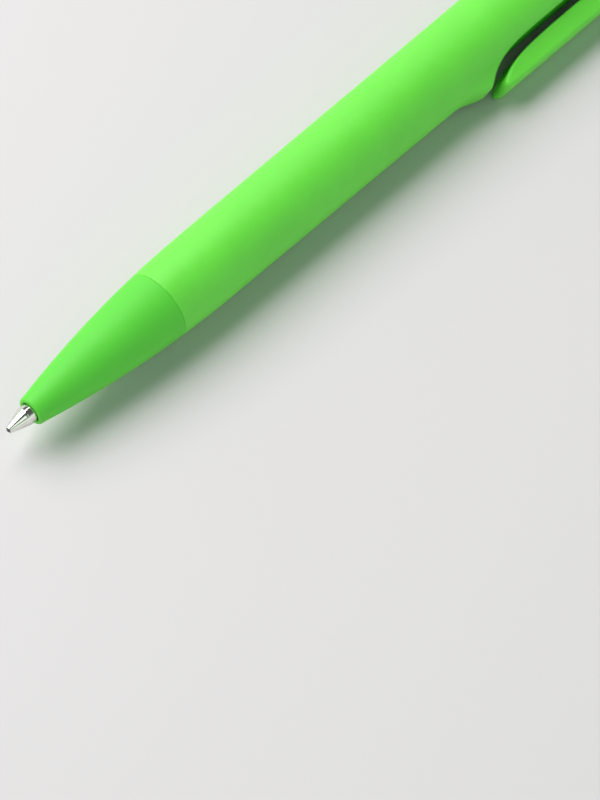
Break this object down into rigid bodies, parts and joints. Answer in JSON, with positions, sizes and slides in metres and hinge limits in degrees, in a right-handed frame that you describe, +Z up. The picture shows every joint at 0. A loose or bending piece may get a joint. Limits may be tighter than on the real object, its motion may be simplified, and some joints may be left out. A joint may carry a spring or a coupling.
{
  "type": "gel pen",
  "caption": "Retractable gel pen with a push button, a side clip over an open window and a tapered nose that screws off.",
  "frame": {"origin": "centre of the pen's box on the surface it lies on, with the point out", "axes": "+X along the pen from the writing end to the button, +Z up from the surface, the clip towards -Y and downwards"},
  "size_m": [0.1362, 0.014, 0.0114],
  "materials": {
    "soft_touch": "satin soft-touch, faintly mottled",
    "nose_plastic": "smooth satin",
    "button_plastic": "smooth satin",
    "grey_plastic": "moulded satin",
    "natural_plastic": "moulded satin",
    "refill_plastic": "translucent, extruded",
    "ink": "wet",
    "grease": "clear gel",
    "point_metal": "turned and polished",
    "ball_carbide": "ground",
    "spring_steel": "drawn wire"
  },
  "bodies": {
    "barrel": {"barrel": "soft_touch", "mechanism_sleeve": "nose_plastic", "trim_ring": "grey_plastic", "return_spring": "spring_steel"},
    "clip": {"clip": "soft_touch"},
    "button": {"push_button": "button_plastic", "plunger": "natural_plastic"},
    "refill": {"refill_tube": "refill_plastic", "ink_column": "ink", "ink_follower": "grease", "tail_plug": "natural_plastic", "tip_holder": "natural_plastic", "point_housing": "point_metal", "ball_spring": "spring_steel"},
    "rotor": {"rotor": "natural_plastic"},
    "ball": {"ball": "ball_carbide"},
    "guide": {"point_guide": "natural_plastic"},
    "nose": {"nose_section": "nose_plastic"}
  },
  "joints": [
    {"name": "click", "type": "slide", "parent": "barrel", "child": "button", "axis": [-1, 0, 0], "range_m": [-0.005, 0.001]},
    {"name": "refill_feed", "type": "slide", "parent": "barrel", "child": "refill", "axis": [-1, 0, 0], "range_m": [-0.005, 0.001], "deforming": ["return_spring"]},
    {"name": "rotor_index", "type": "hinge", "parent": "refill", "child": "rotor", "pos_m": [0.04, 0.00127, 0.00572], "axis": [1, 0, 0], "range_deg": [-45, 9]},
    {"name": "ball_roll", "type": "hinge", "parent": "refill", "child": "ball", "pos_m": [-0.06778, 0.00127, 0.00572], "axis": [0, 1, 0], "continuous": true},
    {"name": "clip_flex", "type": "hinge", "parent": "barrel", "child": "clip", "pos_m": [0.05053, -0.00574, 0.00242], "axis": [0, -0.4261, 0.9047], "range_deg": [0, 5], "stiffness_Nm_per_rad": 1},
    {"name": "nose_feed", "type": "slide", "parent": "barrel", "child": "guide", "axis": [-1, 0, 0], "range_m": [0, 0.0036]},
    {"name": "nose_unscrew", "type": "hinge", "parent": "guide", "child": "nose", "pos_m": [-0.05, 0.00127, 0.00572], "axis": [-1, 0, 0], "range_deg": [0, 1080]}
  ],
  "couplings": [
    {"joint": "refill_feed", "follows": "click", "ratio": 1},
    {"joint": "rotor_index", "follows": "click", "rad_per_m": 157.08},
    {"joint": "nose_unscrew", "follows": "nose_feed", "rad_per_m": 5236}
  ]
}
